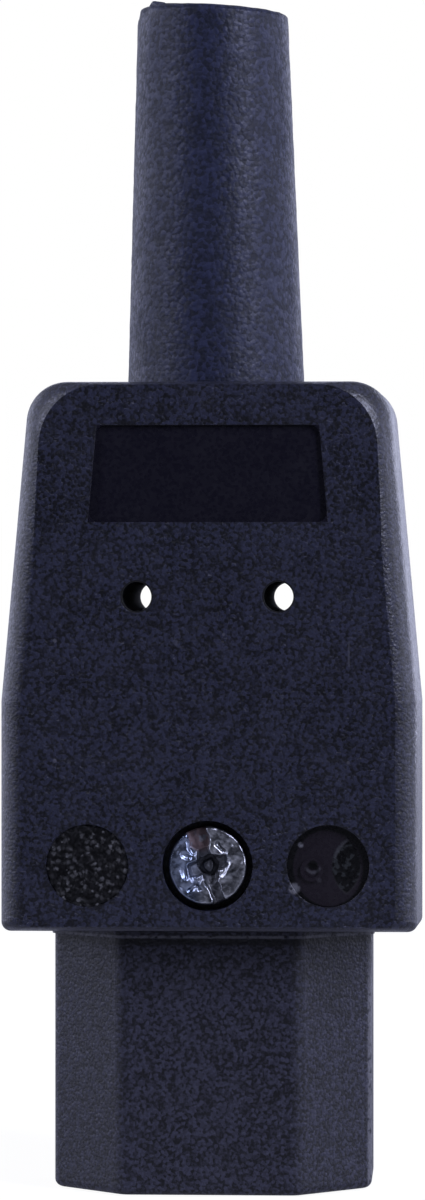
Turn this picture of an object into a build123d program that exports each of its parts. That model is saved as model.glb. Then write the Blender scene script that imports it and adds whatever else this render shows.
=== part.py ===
from build123d import *
from math import cos, radians, sin
import os

# Rewireable C13 power connector, in millimetres.
# The mating face lies on z = 0, the cord leaves upwards, and the front faces -Y.

# Nose, the end that plugs in
nose_width = 24.0
nose_depth = 15.8
nose_chamfer = 5.35
nose_front_round = 1.5
nose_back_round = 2.0
nose_inner_round = 0.4
nose_rim_round = 0.6
nose_length = 19.2
collar_height = 0.5
collar_lip = 0.2
flange_height = 1.6
flange_lip = 1.0

# Contact slots, the chambers behind them, and the plate that closes the chambers
pole_spacing = 14.0
pole_offset = 2.0
slot_width = 2.6
slot_depth = 4.6
slot_wall = 1.6
slot_lead = 0.4
slot_lead_angle = 45
chamber_width = 3.6
chamber_depth = 5.4
seat_width = 4.4
retainer_thickness = 1.5
retainer_rim = 1.7

# Housing of two shells, parted at y = 0
housing_height = 41.0
housing_width = 31.6
housing_top_width = 27.3
straight_height = 17.15
housing_depth = 22.0
side_wall = 1.7
end_wall = 1.6
side_draft = 0.30
end_draft = 0.06
side_roll = 1.65
end_roll = 0.45
roll_depth = 2.8
roll_sweep = radians(82)
roll_steps = 3
top_corner = 3.2
face_corner_gain = 3.4
bottom_corner = 0.7
crease_above_base = 28.15
crease_drop = 0.25
rib_thickness = 1.0
flange_rib_inner = 10.8
sleeve_rib_inner = 6.6
rib_bite = 0.2
lip_thickness = 0.65
lip_height = 1.0
lip_root = 1.6

# Front face: sunk field, tie holes and the row of three discs
field_top_width = 16.5
field_bottom_width = 17.8
field_height = 7.2
field_corner = 0.8
field_sink = 0.45
field_above_base = 30.45
tie_hole_diameter = 2.2
tie_hole_spacing = 10.5
tie_hole_above_base = 24.95
tie_boss_wall = 1.0
disc_diameter = 6.1
disc_spacing = 8.9
gate_disc_sink = 0.25
dial_disc_sink = 0.5
dial_ring_diameter = 1.7
dial_ring_width = 0.3
dial_ring_height = 0.2
dial_ring_shift = 1.2
dial_ring_drop = 0.3

# Closing screw, its nut and the bosses round it
screw_above_base = 5.05
screw_diameter = 2.9
closing_head_diameter = 5.8
closing_head_height = 2.0
closing_head_sink = 0.3
closing_head_round = 0.5
driver_slot_width = 0.8
driver_slot_sink = 0.7
driver_slot_tilt = 16
driver_cross_length = 3.4
driver_cross_sink = 1.1
driver_pit_diameter = 1.5
driver_pit_sink = 1.4
counterbore_diameter = 6.7
nut_across_flats = 5.5
nut_thickness = 2.4
nut_sink = 0.2
nut_chamfer = 0.3
boss_diameter = 5.0
boss_foot_diameter = 8.0
boss_meeting = 1.5
head_seat_thickness = 0.8
nut_seat_thickness = 0.5

# Contacts, each folded from one strip
strip_thickness = 0.8
leaf_thickness = 0.5
leaf_width = 4.0
leaf_pinch_gap = 1.6
leaf_tip_gap = 2.3
leaf_root_gap = 2.2
leaf_tip_height = 2.4
leaf_pinch_height = 4.6
contact_base_width = 4.2
tail_width = 3.0
earth_strap_width = 8.0

# Terminal blocks with their screws and wire guards
terminal_width = 5.4
terminal_depth = 7.2
terminal_height = 9.0
terminal_above_wall = 5.7
earth_terminal_rise = 6.9
terminal_edge = 0.4
terminal_screw_rise = 5.5
tail_insert = 4.0
tail_to_back = 0.6
wire_bore_diameter = 2.8
wire_bore_length = 7.0
wire_bore_to_tail = 1.2
terminal_screw_to_cover = 0.7
terminal_slot_width = 0.6
terminal_slot_sink = 0.8
guard_thickness = 0.3
guard_width = 1.5
guard_length = 6.1
guard_sink = 0.25
guard_tab = 1.9
pedestal_width = 4.0
pedestal_height = 7.0
partition_thickness = 0.7
partition_height = 11.8
partition_gap = 0.5
partition_above_parting = 2.0

# Cord clamp
clamp_above_base = 32.85
clamp_length = 20.4
clamp_height = 5.0
clamp_thickness = 4.2
clamp_gap = 1.4
clamp_end_round = 1.5
clamp_screw_spacing = 15.2
clamp_screw_length = 11.0
clamp_head_diameter = 5.4
clamp_head_height = 2.0
clamp_head_round = 0.7
clamp_boss_diameter = 5.6
clamp_hole_depth = 8.0
cord_passage_diameter = 7.8
grip_rib_height = 0.4
grip_rib_width = 1.0
saddle_height = 3.0

# Cord sleeve
sleeve_length = 28.55
sleeve_base_diameter = 13.4
sleeve_tip_diameter = 11.4
sleeve_bore_diameter = 8.4
sleeve_rim_round = 0.35
sleeve_flange_diameter = 17.0
sleeve_flange_height = 2.2

# Clearances
fit_gap = 0.05
running_gap = 0.07
loose_gap = 0.15
overrun = 1.0

# Places and sizes that follow from the ones above
housing_base = nose_length + collar_height
housing_top = housing_base + housing_height
inner_base = housing_base + end_wall
inner_top = housing_top - end_wall
sleeve_top = housing_top + sleeve_length
half_depth = housing_depth / 2
inner_depth = half_depth - side_wall
shoulder_depth = half_depth - roll_depth
boss_end = half_depth - side_wall / 2
taper_start = housing_base + straight_height
flange_top = inner_base + flange_height
screw_z = housing_base + screw_above_base
tie_z = housing_base + tie_hole_above_base
clamp_z = housing_base + clamp_above_base
field_z = housing_base + field_above_base
crease_z = housing_base + crease_above_base
sleeve_flange_base = inner_top - sleeve_flange_height
screw_radius = screw_diameter / 2
screw_hole_radius = screw_radius + running_gap
boss_radius = boss_diameter / 2
boss_foot_radius = boss_foot_diameter / 2
head_floor_depth = half_depth - closing_head_sink - closing_head_height
nut_floor_depth = half_depth - nut_sink - nut_thickness
head_foot_depth = head_floor_depth - head_seat_thickness
nut_foot_depth = nut_floor_depth - nut_seat_thickness
retainer_top = screw_z - boss_radius - 2 * loose_gap
retainer_base = retainer_top - retainer_thickness
contact_base_top = retainer_base - 2 * fit_gap
contact_base_bottom = contact_base_top - strip_thickness
terminal_base = inner_base + terminal_above_wall
earth_terminal_base = terminal_base + earth_terminal_rise
cord_radius = cord_passage_diameter / 2
wire_back = leaf_width / 2 - strip_thickness - wire_bore_to_tail
screw_tip = wire_back - wire_bore_diameter + guard_sink - fit_gap
terminal_screw_length = inner_depth - terminal_screw_to_cover - pole_offset + screw_tip

# Each pole's name, place across the nose, and the height of its terminal block's foot
poles = (
    ("live", pole_spacing / 2, pole_offset, terminal_base),
    ("neutral", -pole_spacing / 2, pole_offset, terminal_base),
    ("earth", 0, -pole_offset, earth_terminal_base),
)

front_plane = Plane.XZ
rear_plane = Plane(origin=(0, 0, 0), x_dir=(-1, 0, 0), z_dir=(0, 1, 0))

os.makedirs("parts", exist_ok=True)


def hand_in(piece, name):
    """Label one finished piece and write it under its own name."""
    piece.part.label = name
    export_step(piece.part, f"parts/{name}.step")


# Shared outlines


def nose_outline(grow):
    """Outline of the nose, grown or shrunk: two corners are slanted on the earth side."""
    slant = nose_chamfer + grow * (2 - 2**0.5)
    with BuildSketch() as outline:
        Rectangle(nose_width + 2 * grow, nose_depth + 2 * grow)
        chamfer(outline.vertices().group_by(Axis.Y)[0], slant)
        rows = outline.vertices().group_by(Axis.Y)
        fillet(rows[0] + rows[1], max(nose_front_round + grow, nose_inner_round))
        fillet(outline.vertices().group_by(Axis.Y)[-1], max(nose_back_round + grow, nose_inner_round))
    return outline.sketch


def housing_outline(side_inset, end_inset, corner_gain=0):
    """Outline of the housing seen from the front, pulled in from its sides and its ends."""
    half_foot = housing_width / 2 - side_inset
    slope = (housing_width - housing_top_width) / 2 / (housing_top - taper_start)
    half_head = housing_top_width / 2 + slope * end_inset - side_inset
    with BuildSketch() as outline:
        with BuildLine():
            Polyline(
                (-half_foot, housing_base + end_inset),
                (half_foot, housing_base + end_inset),
                (half_foot, taper_start),
                (half_head, housing_top - end_inset),
                (-half_head, housing_top - end_inset),
                (-half_foot, taper_start),
                close=True,
            )
        make_face()
        head_corner = top_corner - (side_inset + end_inset) / 2 + corner_gain
        fillet(outline.vertices().group_by(Axis.Y)[-1], head_corner)
        fillet(outline.vertices().group_by(Axis.Y)[0], bottom_corner)
    return outline.sketch


# Housing shells


def shell_block(plane):
    """Solid half of the housing: drafted sides, then a rolled edge that widens at the head."""
    with BuildPart() as sides:
        with BuildSketch(plane):
            add(housing_outline(0, 0))
        with BuildSketch(plane.offset(shoulder_depth)):
            add(housing_outline(side_draft, end_draft))
        loft(ruled=True)
    with BuildPart() as face:
        for step in range(roll_steps + 1):
            turn = roll_sweep * step / roll_steps
            rise_share = sin(turn) / sin(roll_sweep)
            pull_share = (1 - cos(turn)) / (1 - cos(roll_sweep))
            side_pull = side_draft + side_roll * pull_share
            end_pull = end_draft + end_roll * pull_share
            with BuildSketch(plane.offset(shoulder_depth + roll_depth * rise_share)):
                add(housing_outline(side_pull, end_pull, face_corner_gain * pull_share))
        loft()
    with BuildPart() as block:
        add(sides.part)
        add(face.part)
    return block.part


def shell(plane, boss_start, foot_start):
    """Half of the housing with what both halves have, hollow, with its bosses and ribs."""
    with BuildPart() as cavity:
        with BuildSketch(plane):
            add(housing_outline(side_wall, end_wall))
        with BuildSketch(plane.offset(inner_depth)):
            add(housing_outline(side_wall + side_draft, end_wall))
        loft(ruled=True)
    with BuildPart() as half:
        add(shell_block(plane))
        add(cavity.part, mode=Mode.SUBTRACT)
        # Boss of the closing screw, with a wider foot round the head or the nut
        with BuildSketch(plane.offset(boss_start)):
            with Locations((0, screw_z)):
                Circle(boss_radius)
        extrude(amount=boss_end - boss_start)
        with BuildSketch(plane.offset(foot_start)):
            with Locations((0, screw_z)):
                Circle(boss_foot_radius)
        extrude(amount=boss_end - foot_start)
        # Tubular bosses of the two tie holes
        with BuildSketch(plane):
            with Locations((0, tie_z)):
                with GridLocations(tie_hole_spacing, 0, 2, 1):
                    Circle(tie_hole_diameter / 2 + tie_boss_wall)
        extrude(amount=boss_end)
        # Ribs that trap the nose's flange and the sleeve's flange
        for inner_end, width_there, rib_base in (
            (flange_rib_inner, housing_width, flange_top + fit_gap),
            (sleeve_rib_inner, housing_top_width, sleeve_flange_base - fit_gap - rib_thickness),
        ):
            with BuildSketch(plane):
                with Locations((0, rib_base + rib_thickness / 2)):
                    Rectangle(width_there - 2 * side_wall + 2 * rib_bite, rib_thickness)
                    Rectangle(2 * inner_end, rib_thickness, mode=Mode.SUBTRACT)
            extrude(amount=boss_end)
        # Half openings for the nose and the sleeve
        with BuildSketch(Plane.XY.offset(housing_base - overrun)):
            add(nose_outline(fit_gap))
        extrude(amount=end_wall + overrun, mode=Mode.SUBTRACT)
        with BuildSketch(Plane.XY.offset(inner_top)):
            Circle(sleeve_base_diameter / 2 + fit_gap)
        extrude(amount=end_wall + overrun, mode=Mode.SUBTRACT)
        # Holes for the closing screw and the ties
        with BuildSketch(plane.offset(boss_start)):
            with Locations((0, screw_z)):
                Circle(screw_hole_radius)
        extrude(amount=half_depth - boss_start, mode=Mode.SUBTRACT)
        with BuildSketch(plane):
            with Locations((0, tie_z)):
                with GridLocations(tie_hole_spacing, 0, 2, 1):
                    Circle(tie_hole_diameter / 2)
        extrude(amount=half_depth, mode=Mode.SUBTRACT)
    return half.part


# Front cover: the half with the screw head, the sunk field and the discs

with BuildPart() as front_cover:
    add(shell(front_plane, boss_meeting, head_foot_depth))
    # Above the crease the face leans back a little
    with BuildSketch(Plane.YZ):
        with BuildLine():
            Polyline(
                (-half_depth, crease_z),
                (-half_depth + crease_drop, housing_top),
                (-half_depth - overrun, housing_top),
                (-half_depth - overrun, crease_z),
                close=True,
            )
        make_face()
    extrude(amount=housing_width / 2, both=True, mode=Mode.SUBTRACT)
    # Sunk field
    with BuildSketch(front_plane.offset(half_depth - field_sink)) as field:
        with BuildLine():
            Polyline(
                (-field_bottom_width / 2, field_z),
                (field_bottom_width / 2, field_z),
                (field_top_width / 2, field_z + field_height),
                (-field_top_width / 2, field_z + field_height),
                close=True,
            )
        make_face()
        fillet(field.vertices(), field_corner)
    extrude(amount=field_sink, mode=Mode.SUBTRACT)
    # Counterbore of the closing screw, with a shallow disc each side of it
    with BuildSketch(front_plane.offset(head_floor_depth)):
        with Locations((0, screw_z)):
            Circle(counterbore_diameter / 2)
    extrude(amount=half_depth - head_floor_depth, mode=Mode.SUBTRACT)
    with BuildSketch(front_plane.offset(half_depth - gate_disc_sink)):
        with Locations((-disc_spacing, screw_z)):
            Circle(disc_diameter / 2)
    extrude(amount=gate_disc_sink, mode=Mode.SUBTRACT)
    with BuildSketch(front_plane.offset(half_depth - dial_disc_sink)):
        with Locations((disc_spacing, screw_z)):
            Circle(disc_diameter / 2)
    extrude(amount=dial_disc_sink, mode=Mode.SUBTRACT)
    with BuildSketch(front_plane.offset(half_depth - dial_disc_sink)):
        with Locations((disc_spacing - dial_ring_shift, screw_z - dial_ring_drop)):
            Circle(dial_ring_diameter / 2)
            Circle(dial_ring_diameter / 2 - dial_ring_width, mode=Mode.SUBTRACT)
    extrude(amount=dial_ring_height)

# Rear shell: the half that carries the nut, the terminals and the clamp

lip_low = flange_top + 2 * rib_thickness
lip_high = sleeve_flange_base - 2 * rib_thickness
with BuildPart() as rear_shell:
    add(shell(rear_plane, -boss_meeting, nut_foot_depth))
    # Lip that steps up inside the front cover's side walls
    for start, height, outer_inset in (
        (0, lip_root, side_wall / 2),
        (-lip_height, lip_height, side_wall + loose_gap),
    ):
        with BuildSketch(rear_plane.offset(start)):
            add(housing_outline(outer_inset, 0))
            add(housing_outline(side_wall + loose_gap + lip_thickness, 0), mode=Mode.SUBTRACT)
            with Locations((0, (lip_low + lip_high) / 2)):
                Rectangle(housing_width, lip_high - lip_low, mode=Mode.INTERSECT)
        extrude(amount=height)
    # Pocket of the closing nut
    with BuildSketch(rear_plane.offset(nut_floor_depth)):
        with Locations((0, screw_z)):
            RegularPolygon(nut_across_flats / 2 + fit_gap, 6, major_radius=False)
    extrude(amount=half_depth - nut_floor_depth, mode=Mode.SUBTRACT)
    # Pedestals behind the terminal blocks
    for name, pole_x, pole_y, block_base in poles:
        seat_y = pole_y + leaf_width / 2 + tail_to_back
        with BuildSketch(rear_plane.offset(seat_y)):
            with Locations((-pole_x, block_base + terminal_height / 2)):
                Rectangle(pedestal_width, pedestal_height)
        extrude(amount=boss_end - seat_y)
    # Partitions between the terminals
    partition_base = screw_z + earth_strap_width / 2 + partition_gap
    with BuildSketch(rear_plane.offset(-partition_above_parting)):
        with Locations((0, partition_base + partition_height / 2)):
            with GridLocations(terminal_width + 2 * partition_gap + partition_thickness, 0, 2, 1):
                Rectangle(partition_thickness, partition_height)
    extrude(amount=boss_end + partition_above_parting)
    # Bosses of the clamp screws, with the cord's saddle between them
    with BuildSketch(rear_plane):
        with Locations((0, clamp_z)):
            Rectangle(clamp_screw_spacing, saddle_height)
            with GridLocations(clamp_screw_spacing, 0, 2, 1):
                Circle(clamp_boss_diameter / 2)
    extrude(amount=boss_end)
    with BuildSketch(Plane.XY.offset(clamp_z - clamp_height)):
        Circle(cord_radius)
    extrude(amount=2 * clamp_height, mode=Mode.SUBTRACT)
    with BuildSketch(rear_plane):
        with Locations((0, clamp_z)):
            with GridLocations(clamp_screw_spacing, 0, 2, 1):
                Circle(screw_hole_radius)
    extrude(amount=clamp_hole_depth, mode=Mode.SUBTRACT)

# Contact carrier: the nose, moulded with its collar, neck and flange

pole_places = [(pole_x, pole_y) for name, pole_x, pole_y, block_base in poles]

with BuildPart() as contact_carrier:
    with BuildSketch():
        add(nose_outline(0))
    extrude(amount=inner_base)
    fillet(contact_carrier.faces().sort_by(Axis.Z)[0].edges(), nose_rim_round)
    with BuildSketch(Plane.XY.offset(nose_length)):
        add(nose_outline(collar_lip))
    extrude(amount=collar_height)
    with BuildSketch(Plane.XY.offset(inner_base)):
        add(nose_outline(flange_lip))
    extrude(amount=flange_height)
    # Pocket for the retainer, and the three chambers with their slots
    with BuildSketch(Plane.XY.offset(retainer_base)):
        add(nose_outline(-retainer_rim))
    extrude(amount=flange_top - retainer_base, mode=Mode.SUBTRACT)
    for low, high, width, depth in (
        (contact_base_bottom, retainer_base, seat_width, chamber_depth),
        (slot_wall, contact_base_bottom, chamber_width, chamber_depth),
        (0, slot_wall, slot_width, slot_depth),
    ):
        with BuildSketch(Plane.XY.offset(low)):
            with Locations(*pole_places):
                Rectangle(width, depth)
        extrude(amount=high - low, mode=Mode.SUBTRACT)
    with BuildSketch():
        with Locations(*pole_places):
            Rectangle(slot_width + 2 * slot_lead, slot_depth + 2 * slot_lead)
    extrude(amount=slot_lead, taper=slot_lead_angle, mode=Mode.SUBTRACT)
    # Notches in the flange for the closing screw's boss and its feet
    with BuildSketch(front_plane):
        with Locations((0, screw_z)):
            Circle(boss_radius + loose_gap)
    extrude(amount=half_depth, both=True, mode=Mode.SUBTRACT)
    for plane, foot_start in ((front_plane, head_foot_depth), (rear_plane, nut_foot_depth)):
        with BuildSketch(plane.offset(foot_start)):
            with Locations((0, screw_z)):
                Circle(boss_foot_radius + loose_gap)
        extrude(amount=half_depth - foot_start, mode=Mode.SUBTRACT)

# Contact retainer: plate that keeps the contacts from being pushed out of the carrier

with BuildPart() as contact_retainer:
    with BuildSketch(Plane.XY.offset(retainer_base)):
        add(nose_outline(-retainer_rim - fit_gap))
        for name, pole_x, pole_y, block_base in poles:
            strap = earth_strap_width if name == "earth" else tail_width
            with Locations((pole_x, pole_y + (leaf_width - strip_thickness) / 2)):
                Rectangle(
                    strap + 2 * loose_gap,
                    strip_thickness + 2 * loose_gap,
                    mode=Mode.SUBTRACT,
                )
    extrude(amount=retainer_thickness)

# Contacts, terminal blocks, wire guards and terminal screws, one of each for every pole


def contact(name, pole_x, pole_y, block_base):
    """Spring contact: two leaves that pinch the pin, a base, and a tail up to the terminal."""
    tail_back = pole_y + leaf_width / 2
    tail_plane = Plane.XZ.offset(-tail_back)
    tail_top = block_base + tail_insert
    with BuildPart() as piece:
        with BuildSketch(Plane.XZ.offset(-pole_y)):
            for side in (-1, 1):
                tip, pinch, root = (
                    side * gap / 2 for gap in (leaf_tip_gap, leaf_pinch_gap, leaf_root_gap)
                )
                skin = side * leaf_thickness
                with BuildLine():
                    Polyline(
                        (pole_x + tip, leaf_tip_height),
                        (pole_x + pinch, leaf_pinch_height),
                        (pole_x + root, contact_base_top),
                        (pole_x + root + skin, contact_base_top),
                        (pole_x + pinch + skin, leaf_pinch_height),
                        (pole_x + tip + skin, leaf_tip_height),
                        close=True,
                    )
                make_face()
            with Locations((pole_x, contact_base_bottom + strip_thickness / 2)):
                Rectangle(contact_base_width, strip_thickness)
        extrude(amount=leaf_width / 2, both=True)
        with BuildSketch(tail_plane):
            with Locations((pole_x, (contact_base_bottom + tail_top) / 2)):
                Rectangle(tail_width, tail_top - contact_base_bottom)
            if name == "earth":
                # The earth strap widens to an eye round the closing screw's boss
                with Locations((pole_x, (retainer_base + screw_z) / 2)):
                    Rectangle(earth_strap_width, screw_z - retainer_base)
                with Locations((pole_x, screw_z)):
                    Circle(earth_strap_width / 2)
                    Circle(boss_radius + loose_gap, mode=Mode.SUBTRACT)
        extrude(amount=strip_thickness)
    return piece


def terminal(pole_x, pole_y, block_base):
    """Brass block with a slot for the tail, a bore for the wire and a tapped cross hole."""
    tail_back = pole_y + leaf_width / 2
    block_back = tail_back + tail_to_back
    block_front = block_back - terminal_depth
    wire_y = pole_y + wire_back - wire_bore_diameter / 2
    with BuildPart() as piece:
        with BuildSketch(Plane.XY.offset(block_base)):
            with Locations((pole_x, (block_front + block_back) / 2)):
                Rectangle(terminal_width, terminal_depth)
        extrude(amount=terminal_height)
        chamfer(piece.edges().filter_by(Axis.Z), terminal_edge)
        with BuildSketch(Plane.XY.offset(block_base)):
            with Locations((pole_x, tail_back - strip_thickness / 2)):
                Rectangle(tail_width + 2 * fit_gap, strip_thickness + 2 * fit_gap)
        extrude(amount=tail_insert + fit_gap, mode=Mode.SUBTRACT)
        with BuildSketch(Plane.XY.offset(block_base + terminal_height)):
            with Locations((pole_x, wire_y)):
                Circle(wire_bore_diameter / 2)
        extrude(amount=-wire_bore_length, mode=Mode.SUBTRACT)
        with BuildSketch(Plane.XZ.offset(-wire_y)):
            with Locations((pole_x, block_base + terminal_screw_rise)):
                Circle(screw_hole_radius)
        extrude(amount=wire_y - block_front, mode=Mode.SUBTRACT)
    return piece


def wire_guard(pole_x, pole_y, block_base):
    """Leaf that hangs in the wire bore, between the screw's tip and the strands."""
    front = pole_y + wire_back - wire_bore_diameter + guard_sink
    top = block_base + terminal_height
    with BuildPart() as piece:
        with BuildSketch(Plane.YZ.offset(pole_x)):
            with BuildLine():
                Polyline(
                    (front, top - guard_length),
                    (front + guard_thickness, top - guard_length),
                    (front + guard_thickness, top + guard_thickness),
                    (front + guard_thickness - guard_tab, top + guard_thickness),
                    (front + guard_thickness - guard_tab, top),
                    (front, top),
                    close=True,
                )
            make_face()
        extrude(amount=guard_width / 2, both=True)
    return piece


def terminal_screw(pole_x, pole_y, block_base):
    """Slotted set screw that presses the wire guard on the wire."""
    tip_y = pole_y + screw_tip
    height = block_base + terminal_screw_rise
    with BuildPart() as piece:
        with BuildSketch(Plane.XZ.offset(-tip_y)):
            with Locations((pole_x, height)):
                Circle(screw_radius)
        extrude(amount=terminal_screw_length)
        chamfer(piece.edges().filter_by(GeomType.CIRCLE), terminal_edge / 2)
        with BuildSketch(Plane.XZ.offset(terminal_screw_length - tip_y)):
            with Locations((pole_x, height)):
                Rectangle(screw_diameter, terminal_slot_width)
        extrude(amount=-terminal_slot_sink, mode=Mode.SUBTRACT)
    return piece


for name, pole_x, pole_y, block_base in poles:
    hand_in(contact(name, pole_x, pole_y, block_base), f"{name}_contact")
    hand_in(terminal(pole_x, pole_y, block_base), f"{name}_terminal")
    hand_in(wire_guard(pole_x, pole_y, block_base), f"{name}_wire_guard")
    hand_in(terminal_screw(pole_x, pole_y, block_base), f"{name}_terminal_screw")

# Closing screw and closing nut

with BuildPart() as closing_screw:
    with BuildSketch(front_plane.offset(head_floor_depth)):
        with Locations((0, screw_z)):
            Circle(closing_head_diameter / 2)
    extrude(amount=closing_head_height)
    fillet(closing_screw.edges().sort_by(Axis.Y)[0], closing_head_round)
    with BuildSketch(front_plane.offset(head_floor_depth)):
        with Locations((0, screw_z)):
            Circle(screw_radius)
    extrude(amount=-head_floor_depth - nut_floor_depth - nut_thickness)
    # Combination drive: a slot right across, a cross recess and a small centre pit
    head_face = front_plane.offset(head_floor_depth + closing_head_height)
    with BuildSketch(head_face):
        with Locations((0, screw_z)):
            Rectangle(driver_slot_width, closing_head_diameter, rotation=driver_slot_tilt)
    extrude(amount=-driver_slot_sink, mode=Mode.SUBTRACT)
    with BuildSketch(head_face):
        with Locations((0, screw_z)):
            Rectangle(driver_slot_width, driver_cross_length, rotation=driver_slot_tilt)
            Rectangle(driver_cross_length, driver_slot_width, rotation=driver_slot_tilt)
    extrude(amount=-driver_cross_sink, mode=Mode.SUBTRACT)
    with BuildSketch(head_face):
        with Locations((0, screw_z)):
            Circle(driver_pit_diameter / 2)
    extrude(amount=-driver_pit_sink, mode=Mode.SUBTRACT)

with BuildPart() as closing_nut:
    with BuildSketch(rear_plane.offset(nut_floor_depth)):
        with Locations((0, screw_z)):
            RegularPolygon(nut_across_flats / 2, 6, major_radius=False)
    extrude(amount=nut_thickness)
    chamfer(closing_nut.faces().sort_by(Axis.Y)[-1].edges(), nut_chamfer)
    with BuildSketch(rear_plane.offset(nut_floor_depth)):
        with Locations((0, screw_z)):
            Circle(screw_hole_radius)
    extrude(amount=nut_thickness, mode=Mode.SUBTRACT)

# Cord clamp: arched bar with a grip rib, drawn down by two pan head screws

with BuildPart() as cord_clamp:
    with BuildSketch(Plane.XY.offset(clamp_z - clamp_height / 2)) as bar:
        with Locations((0, -clamp_gap - clamp_thickness / 2)):
            Rectangle(clamp_length, clamp_thickness)
        fillet(bar.vertices().group_by(Axis.Y)[0], clamp_end_round)
        Circle(cord_radius - grip_rib_height, mode=Mode.SUBTRACT)
    extrude(amount=clamp_height)
    relief = (clamp_height - grip_rib_width) / 2
    for start in (clamp_z - clamp_height / 2, clamp_z + clamp_height / 2 - relief):
        with BuildSketch(Plane.XY.offset(start)):
            Circle(cord_radius)
        extrude(amount=relief, mode=Mode.SUBTRACT)
    with BuildSketch(front_plane):
        with Locations((0, clamp_z)):
            with GridLocations(clamp_screw_spacing, 0, 2, 1):
                Circle(screw_hole_radius)
    extrude(amount=half_depth, mode=Mode.SUBTRACT)


def clamp_screw(screw_x):
    """Pan head screw of the cord clamp."""
    head_floor = clamp_gap + clamp_thickness
    with BuildPart() as piece:
        with BuildSketch(front_plane.offset(head_floor)):
            with Locations((screw_x, clamp_z)):
                Circle(clamp_head_diameter / 2)
        extrude(amount=clamp_head_height)
        fillet(piece.edges().sort_by(Axis.Y)[0], clamp_head_round)
        with BuildSketch(front_plane.offset(head_floor)):
            with Locations((screw_x, clamp_z)):
                Circle(screw_radius)
        extrude(amount=-clamp_screw_length)
        with BuildSketch(front_plane.offset(head_floor + clamp_head_height)):
            with Locations((screw_x, clamp_z)):
                Rectangle(clamp_head_diameter, driver_slot_width)
        extrude(amount=-driver_slot_sink, mode=Mode.SUBTRACT)
    return piece


# Cord sleeve: soft tube that tapers upwards, its flange trapped inside the housing

with BuildPart() as cord_sleeve:
    with BuildSketch(Plane.XZ) as wall:
        with BuildLine():
            Polyline(
                (sleeve_bore_diameter / 2, sleeve_flange_base),
                (sleeve_flange_diameter / 2, sleeve_flange_base),
                (sleeve_flange_diameter / 2, inner_top),
                (sleeve_base_diameter / 2, inner_top),
                (sleeve_base_diameter / 2, housing_top),
                (sleeve_tip_diameter / 2, sleeve_top),
                (sleeve_bore_diameter / 2, sleeve_top),
                close=True,
            )
        make_face()
        fillet(wall.vertices().group_by(Axis.Y)[-1], sleeve_rim_round)
    revolve(axis=Axis.Z)

hand_in(front_cover, "front_cover")
hand_in(rear_shell, "rear_shell")
hand_in(contact_carrier, "contact_carrier")
hand_in(contact_retainer, "contact_retainer")
hand_in(closing_screw, "closing_screw")
hand_in(closing_nut, "closing_nut")
hand_in(cord_clamp, "cord_clamp")
hand_in(clamp_screw(-clamp_screw_spacing / 2), "clamp_screw_left")
hand_in(clamp_screw(clamp_screw_spacing / 2), "clamp_screw_right")
hand_in(cord_sleeve, "cord_sleeve")
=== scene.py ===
import bmesh
import bpy
import math
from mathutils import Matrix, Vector, noise


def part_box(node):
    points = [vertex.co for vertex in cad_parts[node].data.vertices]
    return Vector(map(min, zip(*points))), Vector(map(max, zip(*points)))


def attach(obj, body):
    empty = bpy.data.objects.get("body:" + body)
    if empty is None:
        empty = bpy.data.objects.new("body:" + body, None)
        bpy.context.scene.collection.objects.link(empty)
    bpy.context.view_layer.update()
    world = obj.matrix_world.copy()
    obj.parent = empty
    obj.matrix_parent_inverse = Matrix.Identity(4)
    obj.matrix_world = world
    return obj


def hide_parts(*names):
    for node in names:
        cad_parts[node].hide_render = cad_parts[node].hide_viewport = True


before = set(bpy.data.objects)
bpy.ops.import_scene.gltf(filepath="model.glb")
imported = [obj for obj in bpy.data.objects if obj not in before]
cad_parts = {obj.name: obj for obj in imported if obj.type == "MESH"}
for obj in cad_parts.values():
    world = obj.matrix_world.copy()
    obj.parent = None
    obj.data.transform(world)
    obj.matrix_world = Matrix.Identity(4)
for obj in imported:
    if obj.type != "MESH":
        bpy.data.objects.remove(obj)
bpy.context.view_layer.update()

# Camera
# The connector stands on its nose and is shot straight on through a long lens, level with
# the middle of its height and a little from its right.
frame_height_px = 1200
focal_length_px = 4861
sensor_height_mm = 36
camera_distance = 0.370
camera_height = 0.04440
camera_azimuth = math.radians(2.8)
camera_sidestep = -0.00016

camera = bpy.data.objects.new("camera", bpy.data.cameras.new("camera"))
camera.data.sensor_fit = "VERTICAL"
camera.data.sensor_height = sensor_height_mm
camera.data.lens = focal_length_px / frame_height_px * sensor_height_mm
camera.location = (
    camera_distance * math.sin(camera_azimuth) + camera_sidestep * math.cos(camera_azimuth),
    camera_sidestep * math.sin(camera_azimuth) - camera_distance * math.cos(camera_azimuth),
    camera_height,
)
camera.rotation_euler = (math.pi / 2, 0, camera_azimuth)
bpy.context.collection.objects.link(camera)
bpy.context.scene.camera = camera
bpy.context.scene.view_settings.view_transform = "Standard"


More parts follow.
